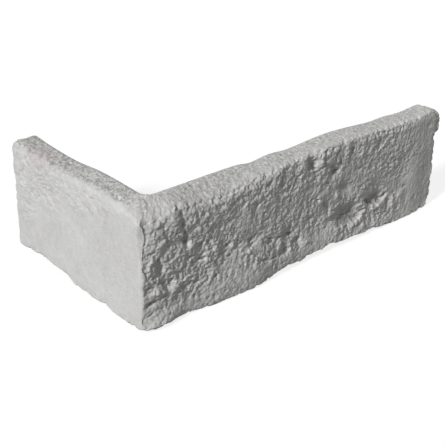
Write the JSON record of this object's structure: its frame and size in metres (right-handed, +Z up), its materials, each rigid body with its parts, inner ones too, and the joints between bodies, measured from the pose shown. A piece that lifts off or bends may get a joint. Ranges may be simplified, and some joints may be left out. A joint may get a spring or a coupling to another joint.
{
  "type": "corner brick slip",
  "caption": "Cast L-shaped facing slip that wraps the outside corner of a wall and copies the stretcher and header faces of an old brick.",
  "frame": {"origin": "middle of the slip's footprint at the level of its lower bed", "axes": "+X along the stretcher side, away from the outer corner; +Y along the header side, away from the outer corner; +Z up"},
  "size_m": [0.2288, 0.1196, 0.067],
  "materials": {
    "cast_paste": "matte"
  },
  "bodies": {
    "root": {"corner_slip": "cast_paste"}
  },
  "joints": []
}
